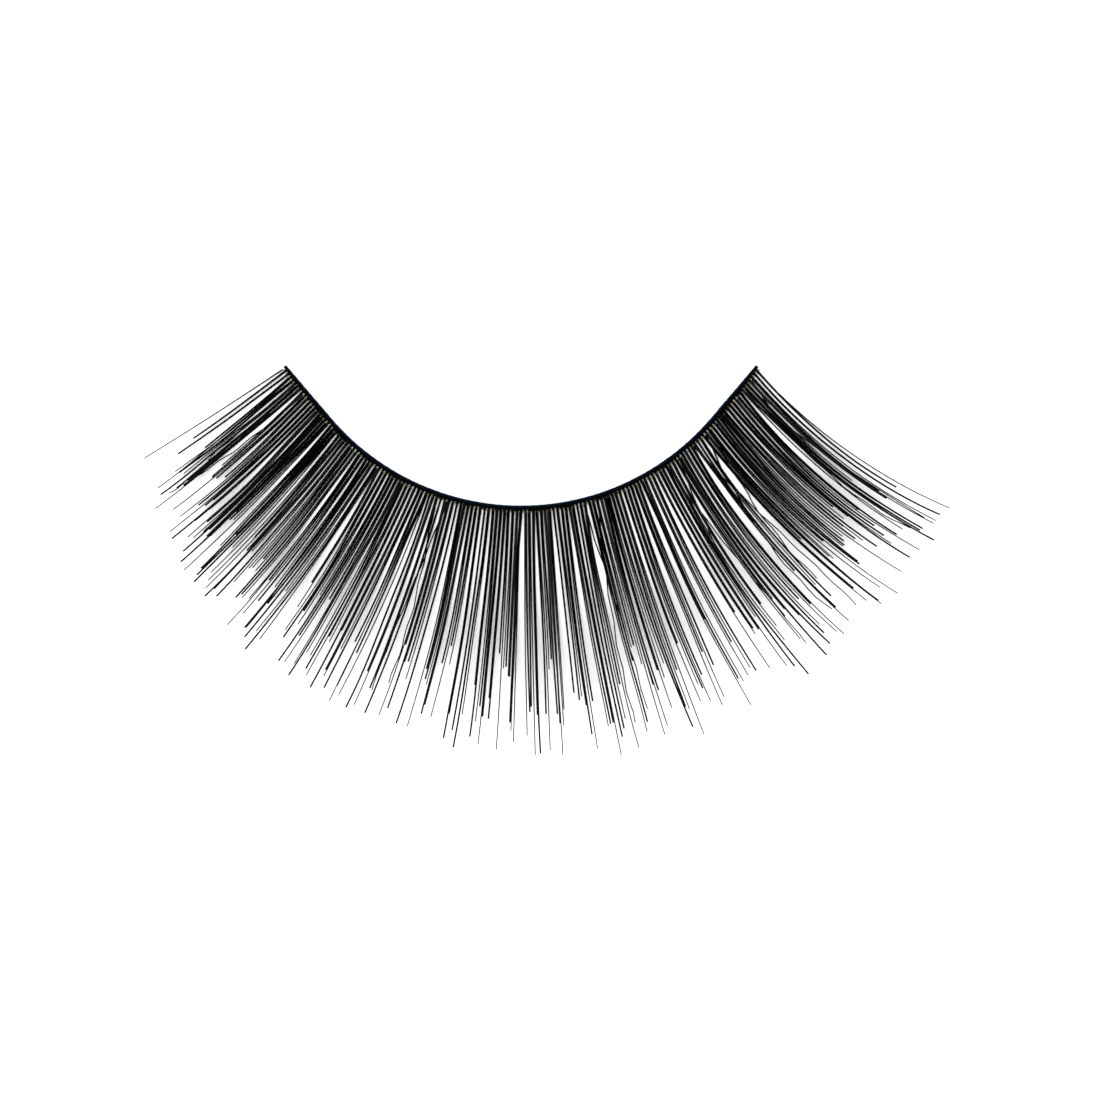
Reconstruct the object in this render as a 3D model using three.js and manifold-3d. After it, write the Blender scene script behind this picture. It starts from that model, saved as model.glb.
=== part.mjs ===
// False eyelash strip, lying as it rests on a table. A thin coated band follows the curve of the upper
// eyelid. A fringe of lashes, knotted in a row along the band's outer edge, fans out over the table and curls
// up to its tips. Millimetres, +Z up. The origin is the middle of the band's flat underside, +X runs along the
// band to the strip's swept outer corner, and the lashes point towards -Y.
import * as THREE from "three";
import Module from "manifold-3d";
import { mergeVertices } from "three/addons/utils/BufferGeometryUtils.js";

// Band: its inner edge is an arc with a straight run at each end
const BAND_LENGTH = 32;
const LID_RADIUS = 14;
const END_RUN = 3.9;
const BAND_WIDTH = 0.26;
const BAND_HEIGHT = 0.3;
const BAND_SLICES = 64;

// Knot row: the strip of hair knots that the lashes grow out of, beside the band
const SEAM_GAP = 0.04;
const KNOT_WIDTH = 0.18;
const KNOT_HEIGHT = 0.24;
const KNOT_INSET = 0.06;
const KNOT_SLICES = 64;

// Lashes, measured along the hair from the knot row
const LASH_LENGTH = 15;
const STRAIGHT_ROOT = 3;
const TIP_CURL_DEG = 50;
const CURL_SPREAD_DEG = 4;
const LOCK_PITCH = 0.4;
const LOCK_GAP = 0.04;
const LOCK_SLICES = 8;
const ROOT_THICKNESS = 0.2;
const TIP_WIDTH = 0.11;
const TIP_THICKNESS = 0.09;
const ROOT_BITE = 0.09;

// How wide the band is along its length, as shares of BAND_WIDTH: narrow cut ends, a fuller stretch near each
const BAND_SECTIONS = [
  { at: 0, width: 0.72 },
  { at: 0.04, width: 0.95 },
  { at: 0.12, width: 1.08 },
  { at: 0.5, width: 1 },
  { at: 0.8, width: 1.05 },
  { at: 0.9, width: 1.25 },
  { at: 0.97, width: 1 },
  { at: 1, width: 0.75 },
];

// The fan: which way the lashes lean from straight out (-Y) at root and tip, in degrees towards +X, and how
// far the longest ones reach, as a share of LASH_LENGTH. at is the share of the band's length, from -X.
const FAN = [
  { at: 0, root: -54, tip: -60, reach: 0.64 },
  { at: 0.1, root: -44, tip: -50, reach: 0.79 },
  { at: 0.2, root: -35, tip: -43, reach: 0.85 },
  { at: 0.3, root: -25, tip: -30, reach: 0.9 },
  { at: 0.4, root: -11, tip: -17, reach: 0.95 },
  { at: 0.5, root: -1, tip: -1, reach: 0.97 },
  { at: 0.6, root: 9, tip: 11, reach: 1 },
  { at: 0.7, root: 19, tip: 25, reach: 1 },
  { at: 0.8, root: 29, tip: 45, reach: 1 },
  { at: 0.9, root: 38, tip: 58, reach: 1 },
  { at: 1, root: 41, tip: 67, reach: 0.97 },
];

// The tufts between the fringe's clear gaps. from and to are where a tuft's roots start and end on the band,
// and tip is where its tips gather, as shares of the band's length. reach is a share of the fan's reach there.
const TUFTS = [
  { from: 0.003, to: 0.017, tip: 0.012, reach: 0.98 },
  { from: 0.019, to: 0.049, tip: 0.041, reach: 1 },
  { from: 0.052, to: 0.091, tip: 0.075, reach: 0.98 },
  { from: 0.094, to: 0.126, tip: 0.11, reach: 0.98 },
  { from: 0.128, to: 0.146, tip: 0.138, reach: 1 },
  { from: 0.149, to: 0.167, tip: 0.159, reach: 0.97 },
  { from: 0.169, to: 0.199, tip: 0.185, reach: 1 },
  { from: 0.201, to: 0.239, tip: 0.22, reach: 0.99 },
  { from: 0.241, to: 0.287, tip: 0.265, reach: 0.99 },
  { from: 0.289, to: 0.331, tip: 0.31, reach: 1 },
  { from: 0.338, to: 0.362, tip: 0.352, reach: 0.99 },
  { from: 0.364, to: 0.393, tip: 0.38, reach: 0.98 },
  { from: 0.397, to: 0.427, tip: 0.413, reach: 1 },
  { from: 0.429, to: 0.445, tip: 0.438, reach: 0.99 },
  { from: 0.45, to: 0.498, tip: 0.474, reach: 1 },
  { from: 0.507, to: 0.55, tip: 0.53, reach: 1 },
  { from: 0.556, to: 0.578, tip: 0.569, reach: 1 },
  { from: 0.58, to: 0.609, tip: 0.6, reach: 1 },
  { from: 0.614, to: 0.643, tip: 0.634, reach: 1 },
  { from: 0.646, to: 0.673, tip: 0.662, reach: 1 },
  { from: 0.68, to: 0.712, tip: 0.696, reach: 1 },
  { from: 0.717, to: 0.739, tip: 0.731, reach: 0.98 },
  { from: 0.742, to: 0.776, tip: 0.765, reach: 1 },
  { from: 0.779, to: 0.818, tip: 0.802, reach: 1 },
  { from: 0.829, to: 0.845, tip: 0.838, reach: 0.97 },
  { from: 0.847, to: 0.9, tip: 0.88, reach: 1 },
  { from: 0.902, to: 0.947, tip: 0.925, reach: 0.97 },
  { from: 0.954, to: 0.978, tip: 0.967, reach: 0.99 },
  { from: 0.981, to: 0.993, tip: 0.989, reach: 0.98 },
];

// How much of a tuft's root spread is left at its tips, and the ragged lengths that its locks take in turn
const GATHER = 0.88;
const RAGGED = [1, 0.78, 0.92, 0.7, 0.97, 0.84, 0.74];

// How far a piece's side is drawn in at its underside, its middle and its top, as shares of its half width
const ROUNDED = { under: 0.8, middle: 1, top: 0.62 };
const FLAT_BACKED = { under: 1, middle: 0.9, top: 0.8 };

const hair = new THREE.MeshStandardMaterial({ color: 0x0b0b0c, roughness: 0.5, metalness: 0 });
const coating = new THREE.MeshStandardMaterial({ color: 0x07090d, roughness: 0.35, metalness: 0 });

// Fineness: the steps that a lash's curl is followed in, and how near two vertices are to be one
const LASH_STEPS = 24;
const MERGE_DISTANCE = 1e-4;

const wasm = await Module();
wasm.setup();

// The value of one column of a table at a share of the band's length
function column(table, at, name) {
  const next = table.findIndex((row) => row.at >= at);
  if (next <= 0) return table[Math.max(next, 0)][name];
  const before = table[next - 1];
  const after = table[next];
  return THREE.MathUtils.mapLinear(at, before.at, after.at, before[name], after[name]);
}

// A point in plan at a share of the band's length, and a distance outwards from its inner edge
function bandPoint(share, outwards) {
  const arcHalf = BAND_LENGTH / 2 - END_RUN;
  const along = (share - 0.5) * BAND_LENGTH;
  const turned = THREE.MathUtils.clamp(along, -arcHalf, arcHalf) / LID_RADIUS;
  const straight = along - turned * LID_RADIUS;
  const radius = LID_RADIUS + outwards;
  return new THREE.Vector2(
    radius * Math.sin(turned) + straight * Math.cos(turned),
    BAND_WIDTH / 2 + LID_RADIUS - radius * Math.cos(turned) + straight * Math.sin(turned),
  );
}

function bandWidth(share) {
  return BAND_WIDTH * column(BAND_SECTIONS, share, "width");
}

// A closed bar: a box cut into slices and layers, each vertex moved to place(along, across, up). along runs
// from 0 to 1, across and up from -1 to 1, and across, up and along are a right-handed set.
function bar(slices, layers, place) {
  const box = new THREE.BoxGeometry(2, 2, 1, 1, layers, slices);
  const vertex = box.getAttribute("position");
  for (let i = 0; i < vertex.count; i++) {
    const moved = place(vertex.getZ(i) + 0.5, vertex.getX(i), vertex.getY(i));
    vertex.setXYZ(i, moved.x, moved.y, moved.z);
  }
  box.deleteAttribute("normal");
  box.deleteAttribute("uv");
  return mergeVertices(box, MERGE_DISTANCE);
}

// across drawn in by a side's profile at a height of up
function drawnIn(profile, across, up) {
  return across * THREE.MathUtils.lerp(profile.middle, up < 0 ? profile.under : profile.top, Math.abs(up));
}

function solid(geometry) {
  return new wasm.Manifold(
    new wasm.Mesh({
      numProp: 3,
      vertProperties: geometry.getAttribute("position").array,
      triVerts: Uint32Array.from(geometry.index.array),
    }),
  );
}

function geometryOf(manifold) {
  const mesh = manifold.getMesh();
  return new THREE.BufferGeometry()
    .setAttribute("position", new THREE.BufferAttribute(mesh.vertProperties, 3))
    .setIndex(new THREE.BufferAttribute(mesh.triVerts, 1));
}

function bandGeometry() {
  return bar(BAND_SLICES, 2, (along, across, up) => {
    const halfWidth = bandWidth(along) / 2;
    const at = bandPoint(along, halfWidth * (1 - drawnIn(ROUNDED, across, up)));
    return new THREE.Vector3(at.x, at.y, (BAND_HEIGHT * (1 + up)) / 2);
  });
}

// Where the fringe starts, outwards from the band's inner edge
function knotRowStart(share) {
  return bandWidth(share) + SEAM_GAP;
}

function knotRowGeometry() {
  const inset = KNOT_INSET / BAND_LENGTH;
  return bar(KNOT_SLICES, 2, (along, across, up) => {
    const share = THREE.MathUtils.lerp(inset, 1 - inset, along);
    const at = bandPoint(share, knotRowStart(share) + (KNOT_WIDTH / 2) * (1 - drawnIn(ROUNDED, across, up)));
    return new THREE.Vector3(at.x, at.y, (KNOT_HEIGHT * (1 + up)) / 2);
  });
}

// The lash that grows from a share of the band: where it is at a distance along the hair, and its directions
// there. The hair runs flat for STRAIGHT_ROOT and then curls up evenly, as its lean turns from root to tip.
function lashAt(share, distance, curlDeg) {
  const { degToRad, lerp } = THREE.MathUtils;
  const rootLean = column(FAN, share, "root");
  const tipLean = column(FAN, share, "tip");
  const leanAt = (gone) => degToRad(lerp(rootLean, tipLean, gone / LASH_LENGTH));
  const curledAt = (gone) => Math.max(0, gone - STRAIGHT_ROOT) / (LASH_LENGTH - STRAIGHT_ROOT);
  const heading = (gone) => {
    const lean = leanAt(gone);
    const rise = degToRad(curlDeg * curledAt(gone));
    const flat = Math.cos(rise);
    return new THREE.Vector3(flat * Math.sin(lean), -flat * Math.cos(lean), Math.sin(rise));
  };
  const root = bandPoint(share, knotRowStart(share) + KNOT_WIDTH - ROOT_BITE);
  const point = new THREE.Vector3(root.x, root.y, 0);
  const step = distance / LASH_STEPS;
  for (let i = 0; i < LASH_STEPS; i++) point.addScaledVector(heading((i + 0.5) * step), step);
  const side = new THREE.Vector3(Math.cos(leanAt(distance)), Math.sin(leanAt(distance)), 0);
  return { point, side, above: heading(distance).cross(side) };
}

// One lock of lashes: a flat-backed bar that fills its stretch of the knot row and narrows to a blunt tip
function lockGeometry(lock) {
  return bar(LOCK_SLICES, 1, (along, across, up) => {
    const share = THREE.MathUtils.lerp(lock.root, lock.tip, along * (2 - along));
    const lash = lashAt(share, lock.length * along, lock.curlDeg);
    const halfWidth = THREE.MathUtils.lerp(lock.width, TIP_WIDTH, along * along) / 2;
    const thickness = THREE.MathUtils.lerp(ROOT_THICKNESS, TIP_THICKNESS, along);
    return lash.point
      .addScaledVector(lash.side, halfWidth * drawnIn(FLAT_BACKED, across, up))
      .addScaledVector(lash.above, (thickness * (1 + up)) / 2);
  });
}

// The locks of one tuft, side by side at the root, their tips drawn together
function locksOf(tuft, first) {
  const count = Math.max(1, Math.round(((tuft.to - tuft.from) * BAND_LENGTH) / LOCK_PITCH));
  const pitch = (tuft.to - tuft.from) / count;
  const centre = (tuft.from + tuft.to) / 2;
  const locks = [];
  for (let i = 0; i < count; i++) {
    const root = tuft.from + pitch * (i + 0.5);
    const turn = first + i;
    locks.push({
      root,
      tip: tuft.tip + (root - centre) * GATHER,
      width: pitch * BAND_LENGTH - LOCK_GAP,
      length: LASH_LENGTH * column(FAN, root, "reach") * tuft.reach * RAGGED[turn % RAGGED.length],
      curlDeg: TIP_CURL_DEG + CURL_SPREAD_DEG * ((turn % 3) - 1),
    });
  }
  return locks;
}

function fringeGeometry() {
  let fringe = solid(knotRowGeometry());
  let first = 0;
  for (const tuft of TUFTS) {
    const locks = locksOf(tuft, first);
    first += locks.length;
    for (const lock of locks) fringe = fringe.add(solid(lockGeometry(lock)));
  }
  return geometryOf(fringe);
}

function named(name, geometry, material) {
  const mesh = new THREE.Mesh(geometry, material);
  mesh.name = name;
  return mesh;
}

const strip = new THREE.Group();
strip.add(named("band", bandGeometry(), coating));
strip.add(named("lash_fringe", fringeGeometry(), hair));

export default strip;
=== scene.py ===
import math
import random
from collections import namedtuple

import bmesh
import bpy
from mathutils import Matrix, Vector, noise


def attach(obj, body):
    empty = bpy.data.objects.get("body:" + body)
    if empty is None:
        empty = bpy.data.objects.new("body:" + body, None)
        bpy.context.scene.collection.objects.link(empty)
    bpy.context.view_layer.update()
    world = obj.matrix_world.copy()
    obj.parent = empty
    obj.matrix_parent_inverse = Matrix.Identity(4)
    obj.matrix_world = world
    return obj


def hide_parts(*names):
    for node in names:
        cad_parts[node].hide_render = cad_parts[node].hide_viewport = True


# A false eyelash strip lying on a pale table, seen from straight above: a coated band, a row of hair knots tied on a
# fine pale thread along the band's outer edge, and the lashes, each a swept strand that leaves its knot beside others
# and curls up to its tip. Metres, in the frame of the strip's solids.

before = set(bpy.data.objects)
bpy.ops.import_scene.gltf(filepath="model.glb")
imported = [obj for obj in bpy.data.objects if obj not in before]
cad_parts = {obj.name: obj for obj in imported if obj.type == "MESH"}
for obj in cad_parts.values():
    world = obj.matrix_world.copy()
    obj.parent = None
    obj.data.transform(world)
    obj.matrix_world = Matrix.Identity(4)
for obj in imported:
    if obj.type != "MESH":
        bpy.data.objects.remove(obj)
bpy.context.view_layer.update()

MM = 0.001

# Sizes that the strip's solids have too
BAND_LENGTH = 32 * MM
LID_RADIUS = 14 * MM
END_RUN = 3.9 * MM
BAND_WIDTH = 0.26 * MM
BAND_HEIGHT = 0.3 * MM
SEAM_GAP = 0.04 * MM
KNOT_WIDTH = 0.18 * MM
KNOT_HEIGHT = 0.24 * MM
KNOT_INSET = 0.06 * MM
LASH_LENGTH = 15 * MM
STRAIGHT_ROOT = 3 * MM
GATHER = 0.88

# How wide the band is along its length, as shares of BAND_WIDTH
Width = namedtuple("Width", "at width")
BAND_SECTIONS = (
    Width(0, 0.72),
    Width(0.04, 0.95),
    Width(0.12, 1.08),
    Width(0.5, 1),
    Width(0.8, 1.05),
    Width(0.9, 1.25),
    Width(0.97, 1),
    Width(1, 0.75),
)

# The fan: the lashes' lean at root and tip in degrees, and their reach as a share of LASH_LENGTH
Fan = namedtuple("Fan", "at root tip reach")
FAN = (
    Fan(0, -54, -60, 0.64),
    Fan(0.1, -44, -50, 0.79),
    Fan(0.2, -35, -43, 0.85),
    Fan(0.3, -25, -30, 0.9),
    Fan(0.4, -11, -17, 0.95),
    Fan(0.5, -1, -1, 0.97),
    Fan(0.6, 9, 11, 1),
    Fan(0.7, 19, 25, 1),
    Fan(0.8, 29, 45, 1),
    Fan(0.9, 38, 58, 1),
    Fan(1, 41, 67, 0.97),
)

# The tufts between the fringe's clear gaps: where on the band their roots start and end, where their tips gather,
# their reach as a share of the fan's, and how many hairs a knot holds in them
Tuft = namedtuple("Tuft", "start end tip reach hairs")
TUFTS = (
    Tuft(0.003, 0.017, 0.012, 0.98, 1.0),
    Tuft(0.019, 0.049, 0.041, 1, 2.0),
    Tuft(0.052, 0.091, 0.075, 0.98, 2.1),
    Tuft(0.094, 0.126, 0.11, 0.98, 2.5),
    Tuft(0.128, 0.146, 0.138, 1, 2.6),
    Tuft(0.149, 0.167, 0.159, 0.97, 1.8),
    Tuft(0.169, 0.199, 0.185, 1, 2.4),
    Tuft(0.201, 0.239, 0.22, 0.99, 2.0),
    Tuft(0.241, 0.287, 0.265, 0.99, 2.0),
    Tuft(0.289, 0.331, 0.31, 1, 1.9),
    Tuft(0.338, 0.362, 0.352, 0.99, 1.6),
    Tuft(0.364, 0.393, 0.38, 0.98, 1.8),
    Tuft(0.397, 0.427, 0.413, 1, 2.0),
    Tuft(0.429, 0.445, 0.438, 0.99, 1.5),
    Tuft(0.45, 0.498, 0.474, 1, 2.0),
    Tuft(0.507, 0.55, 0.53, 1, 2.1),
    Tuft(0.556, 0.578, 0.569, 1, 1.8),
    Tuft(0.58, 0.609, 0.6, 1, 1.9),
    Tuft(0.614, 0.643, 0.634, 1, 2.0),
    Tuft(0.646, 0.673, 0.662, 1, 2.2),
    Tuft(0.68, 0.712, 0.696, 1, 2.0),
    Tuft(0.717, 0.739, 0.731, 0.98, 2.0),
    Tuft(0.742, 0.776, 0.765, 1, 2.0),
    Tuft(0.779, 0.818, 0.802, 1, 2.2),
    Tuft(0.829, 0.845, 0.838, 0.97, 1.5),
    Tuft(0.847, 0.9, 0.88, 1, 2.2),
    Tuft(0.902, 0.947, 0.925, 0.97, 2.0),
    Tuft(0.954, 0.978, 0.967, 0.99, 1.8),
    Tuft(0.981, 0.993, 0.989, 0.98, 1.3),
)

# Hair knots: a row from one end of the band to the other, touching it. Jitter is a share of the pitch, the knots' sizes
# are shares of their length, and their reaches and the turn round each are shares of half their width
KNOT_PITCH = 0.222 * MM
KNOT_JITTER = 0.08
KNOT_JITTER_TURN = 7
KNOT_LENGTH = 0.22 * MM
KNOT_TUCK = 0.09 * MM
KNOT_SIZES = (0.8, 1.15)
KNOT_REACHES = (0.9, 1.4)
KNOT_SKEWS = (-0.5, 0.5)
TURN_DEPTH = 0.16
TURN_WIDTH = 0.22

# The pale thread that the hairs are tied on, with its middle's height over the table
THREAD_WIDTH = 0.05 * MM
THREAD_INSET = 0.01 * MM
THREAD_HEIGHT = 0.12 * MM
THREAD_SIDES = 6
THREAD_RINGS = 300

# Strands: how thick they are at root and tip, and where they are cut, as the least, the most and the likeliest share of
# the fan's reach. The blunt hairs of a knot share one cut and vary by the spread
THICK_HAIR = (0.15 * MM, 0.112 * MM)
FINE_HAIR = (0.1 * MM, 0.07 * MM)
BLUNT_CUTS = (0.57, 1.0, 0.83)
BLUNT_SPREAD = (0.8, 1.0)
LONG_CUTS = (0.82, 1.04, 0.98)
LONG_HAIR_CHANCE = 0.7
STRAND_SIDES = 6
STRAND_RINGS = 18
STRAND_STEPS = 16

# Strands: how they lie beside each other and drift apart. A bundle of knots pulls together, sways and bows as one, and
# each knot drifts from that by a little of its own, or by some times as much where it wanders
BESIDE_AT_ROOT = 0.067 * MM
BESIDE_AT_TIP = 0.08 * MM
APART_AT_TIP = (0.15 * MM, 0.22 * MM)
APART_CHANCE = 0.75
BUNDLE_SIZES = (2, 3, 3, 4, 5)
BUNDLE_PULL = 0.18
BUNDLE_SWAY = 0.055 * MM
BUNDLE_BOW = 0.05 * MM
SWAY = 0.03 * MM
WANDER = 4
WANDER_CHANCE = 0.1
BOW = 0.015 * MM
WAVER = 0.015 * MM
WAVER_BOWS = 3
CURLS = (math.radians(42), math.radians(51))
ROOT_HEIGHT = 0.13 * MM
LIE_HEIGHTS = (0.05 * MM, 0.16 * MM)

# The way that a knot's hairs take together: shares of the band's length where they are tied, where they come to
# lie in their tuft and where their tips are, then curl, drift to the side and height over the table
Way = namedtuple("Way", "root joined tip curl sway bow waver kink lie")
Strand = namedtuple("Strand", "way length root_side tip_side widths tone")

# Hairs that lie across their neighbours or alone in a gap: root and tip as shares of the band's length, reach as a
# share of the fan's, and their bow to the side and how far kinks throw them to each side, both in millimetres
Stray = namedtuple("Stray", "root tip reach bow kink")
STRAYS = (
    Stray(0.002, -0.004, 0.97, 0.0, 0.0),
    Stray(0.036, 0.052, 0.62, -0.3, 0.05),
    Stray(0.041, 0.047, 0.9, 0.1, 0.06),
    Stray(0.058, 0.044, 0.7, 0.3, 0.04),
    Stray(0.092, 0.091, 0.8, 0.05, 0.0),
    Stray(0.147, 0.149, 0.88, 0.05, 0.0),
    Stray(0.168, 0.166, 0.92, -0.05, 0.0),
    Stray(0.2, 0.202, 0.82, 0.05, 0.0),
    Stray(0.24, 0.238, 0.94, -0.05, 0.0),
    Stray(0.288, 0.29, 0.85, 0.0, 0.0),
    Stray(0.336, 0.331, 0.95, 0.1, 0.0),
    Stray(0.352, 0.368, 0.8, 0.25, 0.05),
    Stray(0.372, 0.358, 0.85, -0.2, 0.03),
    Stray(0.498, 0.497, 0.96, 0.0, 0.0),
    Stray(0.608, 0.63, 0.85, 0.2, 0.04),
    Stray(0.632, 0.618, 0.9, -0.2, 0.05),
    Stray(0.765, 0.788, 0.9, 0.3, 0.03),
    Stray(0.79, 0.772, 0.8, -0.3, 0.04),
    Stray(0.822, 0.848, 0.92, 0.4, 0.03),
    Stray(0.85, 0.832, 0.85, -0.35, 0.05),
    Stray(0.862, 0.846, 0.7, -0.3, 0.06),
    Stray(0.95, 0.949, 0.85, 0.1, 0.0),
    Stray(0.952, 0.975, 0.9, 0.3, 0.0),
    Stray(0.974, 0.958, 0.88, -0.3, 0.04),
    Stray(0.992, 1.002, 0.99, 0.0, 0.0),
)
STRAY_HEIGHT = 0.22 * MM
KINKS = 5

SEED = 7
chance = random.Random(SEED)


# Curves of the strip


def lerp(a, b, t):
    return a + (b - a) * t


def column(table, at, name):
    """The value of one column of a table at a share of the band's length."""
    for before, after in zip(table, table[1:]):
        if at <= after.at:
            t = max(0, (at - before.at) / (after.at - before.at))
            return lerp(getattr(before, name), getattr(after, name), t)
    return getattr(table[-1], name)


def band_width(share):
    return BAND_WIDTH * column(BAND_SECTIONS, share, "width")


def band_point(share, outwards, height=0.0):
    """A point at a share of the band's length, a distance outwards from its inner edge."""
    arc_half = BAND_LENGTH / 2 - END_RUN
    along = (share - 0.5) * BAND_LENGTH
    turned = max(-arc_half, min(arc_half, along)) / LID_RADIUS
    straight = along - turned * LID_RADIUS
    radius = LID_RADIUS + outwards
    x = radius * math.sin(turned) + straight * math.cos(turned)
    y = BAND_WIDTH / 2 + LID_RADIUS - radius * math.cos(turned) + straight * math.sin(turned)
    return Vector((x, y, height))


def knot_row(share):
    """How far outwards from the band's inner edge the middle of the knot row is."""
    return band_width(share) + SEAM_GAP + KNOT_WIDTH / 2


def lash_at(share, distance, curl):
    """Where the lash from a share of the band is at a distance along the hair, and the direction to its side."""
    root_lean = math.radians(column(FAN, share, "root"))
    tip_lean = math.radians(column(FAN, share, "tip"))
    point = band_point(share, knot_row(share))
    step = distance / STRAND_STEPS
    for i in range(STRAND_STEPS):
        gone = (i + 0.5) * step
        lean = lerp(root_lean, tip_lean, gone / LASH_LENGTH)
        rise = curl * max(0, gone - STRAIGHT_ROOT) / (LASH_LENGTH - STRAIGHT_ROOT)
        flat = math.cos(rise) * step
        point += Vector((flat * math.sin(lean), -flat * math.cos(lean), math.sin(rise) * step))
    lean = lerp(root_lean, tip_lean, distance / LASH_LENGTH)
    return point, Vector((math.cos(lean), math.sin(lean), 0))


# Meshes


def rod(sides, rings):
    """A round bar of radius 1 along Z from 0 to 1, cut into rings."""
    bar = bmesh.new()
    lift = Matrix.Translation((0, 0, 0.5))
    bmesh.ops.create_cone(bar, cap_ends=True, segments=sides, radius1=1, radius2=1, depth=1, matrix=lift)
    sides_of_bar = [edge for edge in bar.edges if abs(edge.verts[0].co.z - edge.verts[1].co.z) > 0.5]
    bmesh.ops.subdivide_edges(bar, edges=sides_of_bar, cuts=rings - 1, use_grid_fill=True)
    return bar


def piece(name, body, material):
    """Finishes a bmesh as a piece of the strip that rides with it."""
    mesh = bpy.data.meshes.new(name)
    body.to_mesh(mesh)
    body.free()
    mesh.materials.append(material)
    mesh.polygons.foreach_set("use_smooth", [True] * len(mesh.polygons))
    made = bpy.data.objects.new(name, mesh)
    bpy.context.scene.collection.objects.link(made)
    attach(made, "root")
    return made


def join(whole, part):
    """Adds a small bmesh to a larger one and frees it."""
    carrier = bpy.data.meshes.new("carrier")
    part.to_mesh(carrier)
    part.free()
    whole.from_mesh(carrier)
    bpy.data.meshes.remove(carrier)


# The coated band

BAND_SIDES = 16
BAND_RINGS = 420
TWIST_PITCH = 0.9 * MM
TWIST_DEPTH = 0.07
GLUE_RIPPLE = 0.06
GLUE_RIPPLE_SIZE = 1.3 * MM
BAND_PRESS = 1.15


def make_band(material):
    """A two-strand twisted thread under a coat of glue, flat where it was pressed on."""
    band = rod(BAND_SIDES, BAND_RINGS)
    edge = band.verts.layers.float.new("painted_sheen_edge")
    for vert in band.verts:
        share = vert.co.z
        angle = math.atan2(vert.co.y, vert.co.x)
        twisted = 2 * (angle - 2 * math.pi * share * BAND_LENGTH / TWIST_PITCH)
        ripple = noise.noise(Vector((share * BAND_LENGTH / GLUE_RIPPLE_SIZE, math.cos(angle), math.sin(angle))))
        swell = 1 + TWIST_DEPTH * (math.cos(twisted) - 1) / 2 + GLUE_RIPPLE * ripple
        width = band_width(share)
        out = width / 2 * (1 + swell * math.cos(angle))
        height = BAND_HEIGHT / 2 * (1 + BAND_PRESS * swell * math.sin(angle))
        # How far the surface faces inwards: the mask for the blue sheen painted into the band's colour
        vert[edge] = max(0, -math.cos(angle))
        vert.co = band_point(share, out, max(0, min(BAND_HEIGHT, height)))
    bmesh.ops.recalc_face_normals(band, faces=band.faces)
    made = piece("coated_band", band, material)
    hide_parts("band")
    return made


# Hair knots


def knot_shares():
    """Where the knots are, as shares of the band's length."""
    inset = 2 * KNOT_INSET / BAND_LENGTH
    count = round(BAND_LENGTH * (1 - 2 * inset) / KNOT_PITCH)
    pitch = (1 - 2 * inset) / count
    return [inset + pitch * (i + 0.5 + KNOT_JITTER * math.sin(KNOT_JITTER_TURN * i)) for i in range(count)]


def make_knot_thread(material):
    """The fine pale thread that the hairs are knotted on."""
    thread = rod(THREAD_SIDES, THREAD_RINGS)
    inset = KNOT_INSET / BAND_LENGTH
    for vert in thread.verts:
        share = lerp(inset, 1 - inset, vert.co.z)
        out = knot_row(share) - THREAD_INSET + vert.co.x * THREAD_WIDTH / 2
        vert.co = band_point(share, out, THREAD_HEIGHT + vert.co.y * THREAD_WIDTH / 2)
    bmesh.ops.recalc_face_normals(thread, faces=thread.faces)
    return piece("knot_thread", thread, material)


def make_knots(material):
    """A hair knot at each root: a small lump against the band, with the hair's turn wound round it."""
    knots = bmesh.new()
    for share in knot_shares():
        knot = bmesh.new()
        bmesh.ops.create_icosphere(knot, subdivisions=2, radius=1)
        size = chance.uniform(*KNOT_SIZES)
        reach = chance.uniform(*KNOT_REACHES)
        skew = chance.uniform(*KNOT_SKEWS)
        for vert in knot.verts:
            groove = 1 - TURN_DEPTH * math.exp(-((vert.co.y - skew * vert.co.x) / TURN_WIDTH) ** 2)
            spot = share + vert.co.x * groove * size * KNOT_LENGTH / 2 / BAND_LENGTH
            out = KNOT_WIDTH / 2 * vert.co.y * groove * (reach if vert.co.y > 0 else 1)
            height = KNOT_HEIGHT / 2 * (1 + vert.co.z * groove)
            vert.co = band_point(spot, knot_row(share) - KNOT_TUCK + out, height)
        bmesh.ops.recalc_face_normals(knot, faces=knot.faces)
        join(knots, knot)
    return piece("hair_knots", knots, material)


# Lashes


def strands():
    """Every strand of the fringe, bundle by bundle, and then the hairs that stray across the others."""
    owed = 0
    for tuft, knots in tufts_of_knots():
        middle = (tuft.start + tuft.end) / 2
        while knots:
            bundle = knots[: chance.choice(BUNDLE_SIZES)]
            knots = knots[len(bundle):]
            centre = sum(bundle) / len(bundle)
            sway, bow = chance.gauss(0, BUNDLE_SWAY), chance.gauss(0, BUNDLE_BOW)
            for knot in bundle:
                joined = max(tuft.start, min(tuft.end, knot))
                held = lerp(joined, centre, BUNDLE_PULL)
                way = way_from(knot, joined, tuft.tip + (held - middle) * GATHER, sway, bow)
                owed += tuft.hairs
                count = max(1, math.floor(owed))
                owed -= count
                yield from hairs_of_knot(way, full_length(knot) * tuft.reach, count)
    for stray in STRAYS:
        bends = dict(curl=CURLS[1], sway=0, bow=stray.bow * MM, waver=0, kink=stray.kink * MM, lie=STRAY_HEIGHT)
        way = Way(stray.root, stray.root, stray.tip, **bends)
        yield Strand(way, full_length(stray.root) * stray.reach, 0, 0, FINE_HAIR, chance.random())


def tufts_of_knots():
    """Each tuft with its knots. A knot between two tufts goes to the nearer one."""
    knots = knot_shares()
    edges = [(before.end + after.start) / 2 for before, after in zip(TUFTS, TUFTS[1:])]
    for tuft, low, high in zip(TUFTS, [0] + edges, edges + [1]):
        yield tuft, [knot for knot in knots if low <= knot < high]


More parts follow.
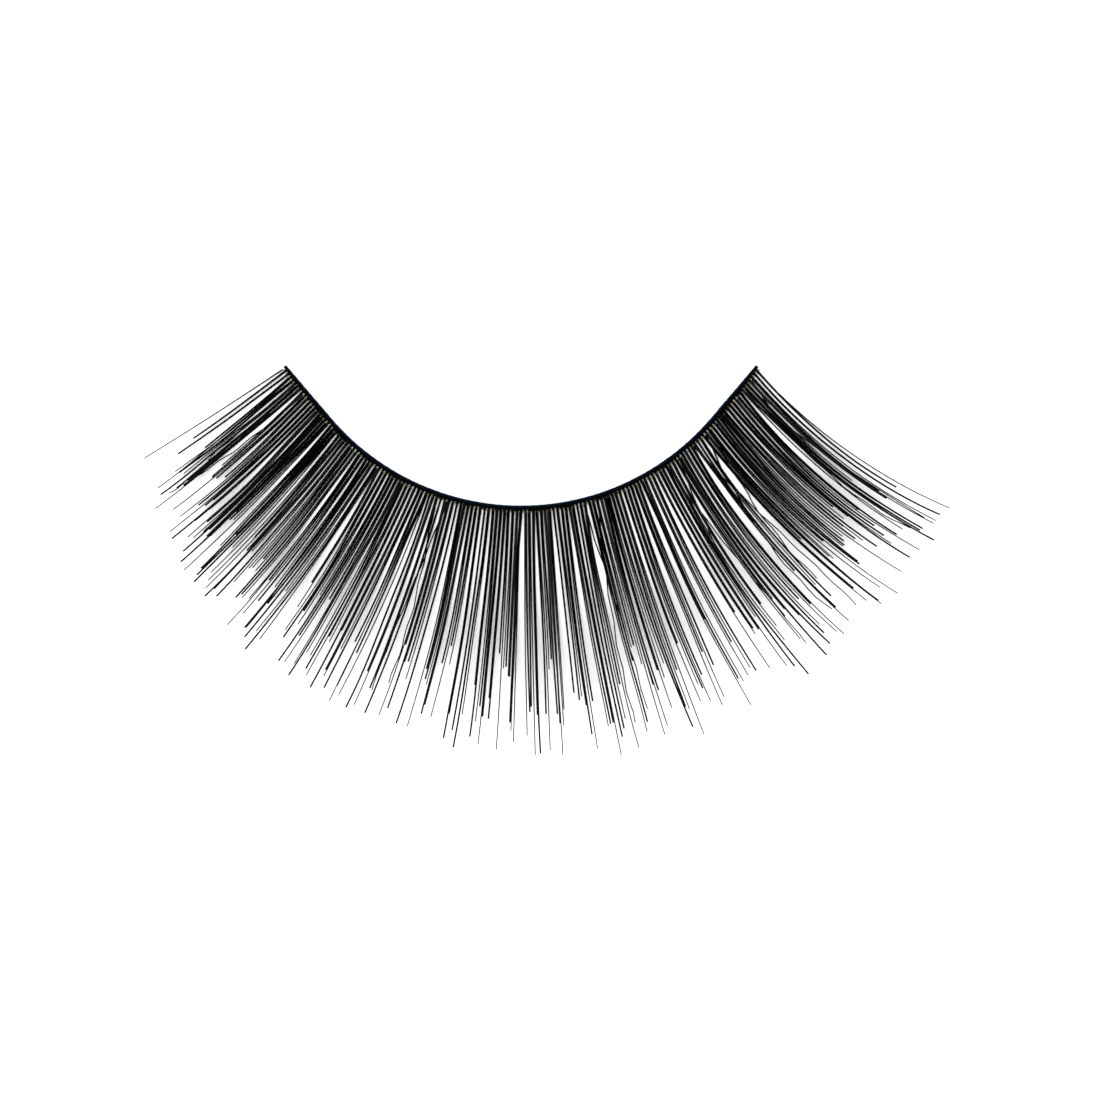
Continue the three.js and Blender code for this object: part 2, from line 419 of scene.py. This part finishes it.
def full_length(share):
    return LASH_LENGTH * column(FAN, share, "reach")


def way_from(knot, joined, tip, bundle_sway, bundle_bow):
    """The way of one knot's hairs: that of its bundle, with a little drift of its own."""
    wander = WANDER if chance.random() < WANDER_CHANCE else 1
    sway = bundle_sway + wander * chance.gauss(0, SWAY)
    bends = dict(sway=sway, bow=bundle_bow + chance.gauss(0, BOW), waver=chance.gauss(0, WAVER), kink=0)
    return Way(knot, joined, tip, curl=chance.uniform(*CURLS), lie=chance.uniform(*LIE_HEIGHTS), **bends)


def hairs_of_knot(way, reach, count):
    """A thick hair and finer ones side by side, cut blunt at about one length, and often one that runs on."""
    cut = reach * chance.triangular(*BLUNT_CUTS)
    tip_sides = [0]
    for _ in range(count - 1):
        apart = chance.uniform(*APART_AT_TIP) if chance.random() < APART_CHANCE else BESIDE_AT_TIP
        tip_sides.append(tip_sides[-1] + apart)
    tip_middle = sum(tip_sides) / count
    thick = chance.randrange(count)
    runs_on = chance.randrange(count) if chance.random() < LONG_HAIR_CHANCE else None
    for i, tip_side in enumerate(tip_sides):
        root_side = (i - (count - 1) / 2) * BESIDE_AT_ROOT
        length = cut * chance.uniform(*BLUNT_SPREAD)
        if i == runs_on:
            length = reach * chance.triangular(*LONG_CUTS)
        widths = THICK_HAIR if i == thick else FINE_HAIR
        yield Strand(way, length, root_side, tip_side - tip_middle, widths, chance.random())


def strand_path(hair):
    """The points that a strand follows, from its knot to its tip."""
    way = hair.way
    whole = full_length(max(0, min(1, way.root)))
    points = []
    for ring in range(STRAND_RINGS + 1):
        distance = hair.length * ring / STRAND_RINGS
        along = distance / whole
        settled = min(1, distance / STRAIGHT_ROOT)
        settled *= settled * (3 - 2 * settled)
        start = lerp(way.root, way.joined, settled)
        point, side = lash_at(lerp(start, way.tip, along * (2 - along)), distance, way.curl)
        turn = math.pi * along
        aside = lerp(hair.root_side, way.sway + hair.tip_side, along)
        aside += way.bow * math.sin(turn) + way.waver * math.sin(WAVER_BOWS * turn)
        aside += way.kink * math.sin(2 * KINKS * turn)
        point.z += lerp(ROOT_HEIGHT, way.lie, settled)
        points.append(point + side * aside)
    return points


def make_lashes(material):
    """All strands as one mesh. Each thins towards its tip, soonest just past its root."""
    lashes = bmesh.new()
    pattern = rod(STRAND_SIDES, STRAND_RINGS)
    for name in ("along", "tone"):
        pattern.verts.layers.float.new(name)
    for hair in strands():
        path = strand_path(hair)
        hair_mesh = pattern.copy()
        along_layer = hair_mesh.verts.layers.float["along"]
        tone_layer = hair_mesh.verts.layers.float["tone"]
        frames = []
        for ring, point in enumerate(path):
            ahead = path[min(ring + 1, STRAND_RINGS)] - path[max(ring - 1, 0)]
            across = ahead.cross(Vector((0, 0, 1))).normalized()
            above = across.cross(ahead).normalized()
            frames.append((point, across, above))
        for vert in hair_mesh.verts:
            along = vert.co.z
            point, across, above = frames[round(along * STRAND_RINGS)]
            radius = lerp(*hair.widths, math.sqrt(along)) / 2
            vert[along_layer] = along
            vert[tone_layer] = hair.tone
            vert.co = point + across * vert.co.x * radius + above * vert.co.y * radius
        bmesh.ops.recalc_face_normals(hair_mesh, faces=hair_mesh.faces)
        join(lashes, hair_mesh)
    pattern.free()
    made = piece("lashes", lashes, material)
    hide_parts("lash_fringe")
    return made


# Materials

GRAIN_DETAIL = 3
GRAIN_SPREAD = (0.3, 0.7)

# How each surface looks: the colours of its dark and its light patches, how many patches there are to the metre, its
# least and most roughness, how much it shines, and how deep and how strong its bumps are
Look = namedtuple("Look", "dark light patches smoothest roughest specular bump_depth bump_strength")
HAIR_LOOK = Look((0.0001, 0.0002, 0.0002), (0.0006, 0.0009, 0.0007), 2500, 0.42, 0.6, 0.006, 0.01 * MM, 0.4)
KNOT_LOOK = Look((0.0005, 0.0006, 0.0005), (0.003, 0.003, 0.0024), 9000, 0.35, 0.6, 0.02, 0.02 * MM, 0.5)
THREAD_LOOK = Look((0.06, 0.05, 0.015), (0.34, 0.3, 0.12), 7000, 0.6, 0.8, 0.5, 0.02 * MM, 0.5)
BAND_LOOK = Look((0.0001, 0.0004, 0.0005), (0.0005, 0.0014, 0.0014), 5000, 0.35, 0.5, 0.01, 0.02 * MM, 0.4)
TABLE_LOOK = Look((0.9, 0.89, 0.91), (0.94, 0.93, 0.95), 60, 0.8, 0.9, 0.1, 0, 0)

# Tints over a surface's own colour, where an attribute of its mesh is high: the higher the power, the less they cover
Tint = namedtuple("Tint", "attribute power colour")
PALE_STRANDS = Tint("tone", 4, (0.009, 0.013, 0.0105))
GREY_TIPS = Tint("along", 3, (0.008, 0.0072, 0.0068))
# Painted sheen: a blue tint painted into the band's colour along its inward-facing side, standing in for a blue sheen
# of light there
PAINTED_BLUE_SHEEN = Tint("painted_sheen_edge", 2, (0.001, 0.014, 0.05))


def fine_grain():
    """Small uneven patches: a colour between two, a roughness between two, and a height."""
    group = bpy.data.node_groups.new("fine grain", "ShaderNodeTree")
    face = group.interface
    for name, kind in (
        ("Dark", "NodeSocketColor"),
        ("Light", "NodeSocketColor"),
        ("Patches per metre", "NodeSocketFloat"),
        ("Smoothest", "NodeSocketFloat"),
        ("Roughest", "NodeSocketFloat"),
    ):
        face.new_socket(name, in_out="INPUT", socket_type=kind)
    for name, kind in (("Color", "NodeSocketColor"), ("Roughness", "NodeSocketFloat"), ("Height", "NodeSocketFloat")):
        face.new_socket(name, in_out="OUTPUT", socket_type=kind)
    nodes, links = group.nodes, group.links
    given = nodes.new("NodeGroupInput")
    result = nodes.new("NodeGroupOutput")
    place = nodes.new("ShaderNodeTexCoord")
    patches = nodes.new("ShaderNodeTexNoise")
    patches.inputs["Detail"].default_value = GRAIN_DETAIL
    links.new(place.outputs["Object"], patches.inputs["Vector"])
    links.new(given.outputs["Patches per metre"], patches.inputs["Scale"])
    spread = nodes.new("ShaderNodeMapRange")
    spread.inputs["From Min"].default_value, spread.inputs["From Max"].default_value = GRAIN_SPREAD
    links.new(patches.outputs["Fac"], spread.inputs["Value"])
    blend = nodes.new("ShaderNodeMix")
    blend.data_type = "RGBA"
    links.new(spread.outputs["Result"], blend.inputs["Factor"])
    links.new(given.outputs["Dark"], blend.inputs["A"])
    links.new(given.outputs["Light"], blend.inputs["B"])
    rough = nodes.new("ShaderNodeMapRange")
    links.new(spread.outputs["Result"], rough.inputs["Value"])
    links.new(given.outputs["Smoothest"], rough.inputs["To Min"])
    links.new(given.outputs["Roughest"], rough.inputs["To Max"])
    links.new(blend.outputs["Result"], result.inputs["Color"])
    links.new(rough.outputs["Result"], result.inputs["Roughness"])
    links.new(patches.outputs["Fac"], result.inputs["Height"])
    return group


def grained_material(name, group, look, *tints):
    """A surface with the fine grain's colour, roughness and bumps, tinted over its colour."""
    material = bpy.data.materials.new(name)
    material.use_nodes = True
    nodes, links = material.node_tree.nodes, material.node_tree.links
    shader = nodes["Principled BSDF"]
    shader.inputs["Specular IOR Level"].default_value = look.specular
    grain = nodes.new("ShaderNodeGroup")
    grain.node_tree = group
    grain.inputs["Dark"].default_value = (*look.dark, 1)
    grain.inputs["Light"].default_value = (*look.light, 1)
    grain.inputs["Patches per metre"].default_value = look.patches
    grain.inputs["Smoothest"].default_value = look.smoothest
    grain.inputs["Roughest"].default_value = look.roughest
    colour = grain.outputs["Color"]
    for tint in tints:
        colour = tinted(nodes, links, colour, tint)
    links.new(colour, shader.inputs["Base Color"])
    links.new(grain.outputs["Roughness"], shader.inputs["Roughness"])
    if look.bump_depth:
        bump = nodes.new("ShaderNodeBump")
        bump.inputs["Strength"].default_value = look.bump_strength
        bump.inputs["Distance"].default_value = look.bump_depth
        links.new(grain.outputs["Height"], bump.inputs["Height"])
        links.new(bump.outputs["Normal"], shader.inputs["Normal"])
    return material


def tinted(nodes, links, colour, tint):
    """A colour that turns to the tint's where the tint's attribute is high."""
    reader = nodes.new("ShaderNodeAttribute")
    reader.attribute_name = tint.attribute
    mask = nodes.new("ShaderNodeMath")
    mask.operation = "POWER"
    mask.inputs[1].default_value = tint.power
    links.new(reader.outputs["Fac"], mask.inputs[0])
    mix = nodes.new("ShaderNodeMix")
    mix.data_type = "RGBA"
    mix.inputs["B"].default_value = (*tint.colour, 1)
    links.new(mask.outputs["Value"], mix.inputs["Factor"])
    links.new(colour, mix.inputs["A"])
    return mix.outputs["Result"]


# Table, light and camera

TABLE_SIZE = 3.0
PHOTO_WIDTH = 1100
PIXELS_PER_METRE = 17.82 / MM
ARC_LOW_PIXEL = (521, 505.4)
LENS = 300
SENSOR = 36
CLIP = (0.01, 10)
KEY_OFFSET = (-0.1, 0.1)
KEY_HEIGHT = 0.7
KEY_SIZE = 0.5
KEY_BRIGHTNESS = 0.8
FILL_BRIGHTNESS = 1.1
FILL_COLOUR = (1, 0.99, 1, 1)


def make_table(material):
    body = bmesh.new()
    bmesh.ops.create_grid(body, x_segments=1, y_segments=1, size=TABLE_SIZE / 2)
    mesh = bpy.data.meshes.new("table")
    body.to_mesh(mesh)
    body.free()
    mesh.materials.append(material)
    table = bpy.data.objects.new("table", mesh)
    bpy.context.scene.collection.objects.link(table)


def make_light():
    """One large soft light over the strip, and an even white fill from all round."""
    light = bpy.data.lights.new("softbox", "AREA")
    light.shape = "SQUARE"
    light.size = KEY_SIZE
    light.energy = KEY_BRIGHTNESS * (math.pi * KEY_HEIGHT) ** 2
    softbox = bpy.data.objects.new("softbox", light)
    softbox.location = (*KEY_OFFSET, KEY_HEIGHT)
    softbox.rotation_euler = (-softbox.location).to_track_quat("-Z", "Y").to_euler()
    bpy.context.scene.collection.objects.link(softbox)
    world = bpy.data.worlds.new("fill")
    world.use_nodes = True
    background = world.node_tree.nodes["Background"]
    background.inputs["Color"].default_value = FILL_COLOUR
    background.inputs["Strength"].default_value = FILL_BRIGHTNESS
    bpy.context.scene.world = world


def make_camera():
    """Straight above, with the photo's frame."""
    data = bpy.data.cameras.new("camera")
    data.lens = LENS
    data.sensor_width = SENSOR
    frame_width = PHOTO_WIDTH / PIXELS_PER_METRE
    camera = bpy.data.objects.new("camera", data)
    x = (PHOTO_WIDTH / 2 - ARC_LOW_PIXEL[0]) / PIXELS_PER_METRE
    y = BAND_WIDTH / 2 - (PHOTO_WIDTH / 2 - ARC_LOW_PIXEL[1]) / PIXELS_PER_METRE
    camera.location = (x, y, frame_width * LENS / SENSOR)
    data.clip_start, data.clip_end = CLIP
    bpy.context.scene.collection.objects.link(camera)
    bpy.context.scene.camera = camera


make_camera()
grain_group = fine_grain()
make_band(grained_material("glue-coated thread", grain_group, BAND_LOOK, PAINTED_BLUE_SHEEN))
make_knot_thread(grained_material("pale knot thread", grain_group, THREAD_LOOK))
make_knots(grained_material("knotted hair", grain_group, KNOT_LOOK))
make_lashes(grained_material("dyed hair", grain_group, HAIR_LOOK, PALE_STRANDS, GREY_TIPS))
make_table(grained_material("pale table", grain_group, TABLE_LOOK))
make_light()
bpy.context.scene.view_settings.view_transform = "Standard"
